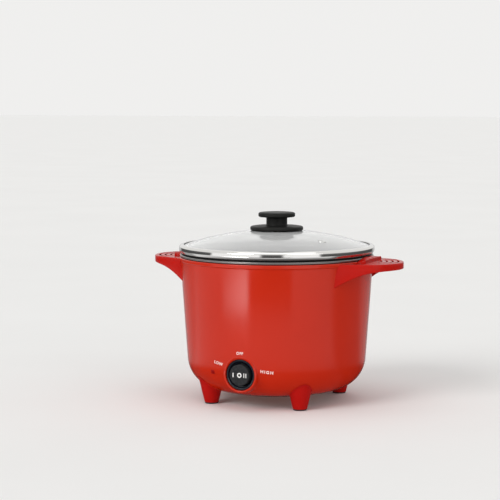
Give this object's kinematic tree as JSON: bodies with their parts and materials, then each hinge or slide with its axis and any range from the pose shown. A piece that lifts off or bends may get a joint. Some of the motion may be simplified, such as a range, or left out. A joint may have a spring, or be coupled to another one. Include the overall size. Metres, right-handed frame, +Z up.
{
  "type": "electric multicooker pot",
  "caption": "Round electric cooking pot with a glossy red body, side grip handles, a rocker switch, a lift-out inner pot and a domed glass lid with a black knob.",
  "frame": {"origin": "on the floor, under the middle of the round body", "axes": "+X towards the right handle, -Y towards the switch at the front, +Z up through the knob"},
  "size_m": [0.334, 0.248, 0.238],
  "materials": {
    "shell_red": "glossy red enamel",
    "handle_red": "glossy red, matched to the shell",
    "foot_red": "glossy red",
    "foot_rubber": "soft black",
    "rim_black": "matt black, heat resistant",
    "screw_steel": "zinc plated",
    "base_black": "satin black",
    "inner_steel": "plain pressed steel",
    "bright_aluminium": "turned aluminium",
    "element_metal": "dark heated steel",
    "brass": "plain brass",
    "ceramic": "ceramic",
    "inlet_black": "matt black",
    "switch_black": "polished black",
    "rocker_grey": "finely textured dark grey",
    "lens_red": "clear dark red",
    "lamp_glass": "neon lamp",
    "lead_sleeve": "braided glass sleeve",
    "pot_coating": "dark non-stick coating",
    "lid_glass": "clear tempered glass",
    "lid_steel": "polished stainless steel",
    "lid_rubber": "black silicone",
    "washer_rubber": "milky silicone",
    "knob_black": "satin black phenolic"
  },
  "bodies": {
    "housing": {"outer_shell": "shell_red", "handle_left": "handle_red", "handle_right": "handle_red", "foot_front_left": "foot_red", "foot_front_right": "foot_red", "foot_rear_left": "foot_red", "foot_rear_right": "foot_red", "pad_front_left": "foot_rubber", "pad_front_right": "foot_rubber", "pad_rear_left": "foot_rubber", "pad_rear_right": "foot_rubber", "rim_ring": "rim_black", "handle_screws": "screw_steel", "foot_screws": "screw_steel", "base_screws": "screw_steel", "inlet_screws": "screw_steel", "base_cover": "base_black", "plate_posts": "inner_steel", "thermostat_can": "inner_steel", "thermostat_spring": "inner_steel", "fuse_clip": "inner_steel", "switch_pin": "inner_steel", "inlet_pins": "inner_steel", "heat_shield": "bright_aluminium", "heating_plate": "bright_aluminium", "heating_element": "element_metal", "element_terminals": "brass", "block_screws": "brass", "earth_screw": "brass", "switch_terminals": "brass", "thermal_fuse": "ceramic", "terminal_block": "ceramic", "power_inlet": "inlet_black", "switch_nut": "inlet_black", "switch_body": "switch_black", "pilot_lens": "lens_red", "pilot_lamp": "lamp_glass", "live_wire": "lead_sleeve", "neutral_wire": "lead_sleeve", "earth_wire": "lead_sleeve", "switch_wire": "lead_sleeve", "element_wires": "lead_sleeve"},
    "inner_pot": {"inner_pot": "pot_coating"},
    "lid": {"lid_glass": "lid_glass", "lid_band": "lid_steel", "lid_seal": "lid_rubber", "vent_grommet": "lid_steel", "knob_base": "knob_black", "knob_top": "knob_black", "knob_seal": "lid_rubber", "knob_washer": "lid_steel", "washer_seal": "washer_rubber", "knob_screw": "screw_steel"},
    "rocker": {"switch_rocker": "rocker_grey"},
    "sensor": {"sensor_cup": "bright_aluminium", "stem_clip": "inner_steel"}
  },
  "joints": [
    {"name": "pot_lift", "type": "slide", "parent": "housing", "child": "inner_pot", "axis": [0, 0, 1], "range_m": [0, 0.15]},
    {"name": "lid_lift", "type": "slide", "parent": "inner_pot", "child": "lid", "axis": [0, 0, 1], "range_m": [0, 0.1]},
    {"name": "rocker_switch", "type": "hinge", "parent": "housing", "child": "rocker", "pos_m": [0, -0.10702, 0.046], "axis": [0, 0, 1], "range_deg": [-10, 10]},
    {"name": "sensor_plunge", "type": "slide", "parent": "housing", "child": "sensor", "axis": [0, 0, 1], "range_m": [-0.003, 0], "stiffness_N_per_m": 800, "springref_m": 0.003, "deforming": ["thermostat_spring"]}
  ]
}
